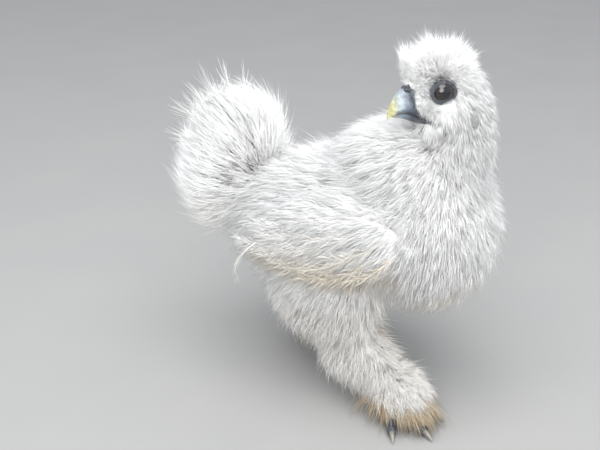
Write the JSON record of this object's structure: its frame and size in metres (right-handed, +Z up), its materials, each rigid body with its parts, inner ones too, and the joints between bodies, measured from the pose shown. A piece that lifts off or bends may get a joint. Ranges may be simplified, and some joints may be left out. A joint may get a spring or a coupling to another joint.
{
  "type": "silkie chicken model",
  "caption": "Life-size still model of a white silkie hen, standing with its head turned back over its right side, on feathered feet.",
  "frame": {"origin": "on the floor, below the middle of the bird's box", "axes": "+X the way the body faces, +Y the bird's left, +Z up"},
  "size_m": [0.2517, 0.155, 0.2817],
  "materials": {
    "white_plumage": "soft silky down",
    "slate_skin": "matt skin",
    "comb_skin": "matt wrinkled skin",
    "slate_horn": "satin horn",
    "eye_black": "wet gloss"
  },
  "bodies": {
    "root": {"torso": "white_plumage", "neck": "white_plumage", "head": "white_plumage", "crest": "white_plumage", "comb": "comb_skin", "bill_upper": "slate_horn", "bill_lower": "slate_horn", "eye_right": "eye_black", "eye_left": "eye_black", "wattle_right": "comb_skin", "wattle_left": "comb_skin", "ear_lobe_right": "slate_skin", "ear_lobe_left": "slate_skin", "tail": "white_plumage", "wing_right": "white_plumage", "wing_left": "white_plumage", "thigh_right": "white_plumage", "thigh_left": "white_plumage", "shank_right": "white_plumage", "shank_left": "white_plumage", "foot_right": "slate_skin", "foot_left": "slate_skin", "claw_right_1": "slate_horn", "claw_right_2": "slate_horn", "claw_right_3": "slate_horn", "claw_right_4": "slate_horn", "claw_right_5": "slate_horn", "claw_left_1": "slate_horn", "claw_left_2": "slate_horn", "claw_left_3": "slate_horn", "claw_left_4": "slate_horn", "claw_left_5": "slate_horn"}
  },
  "joints": []
}
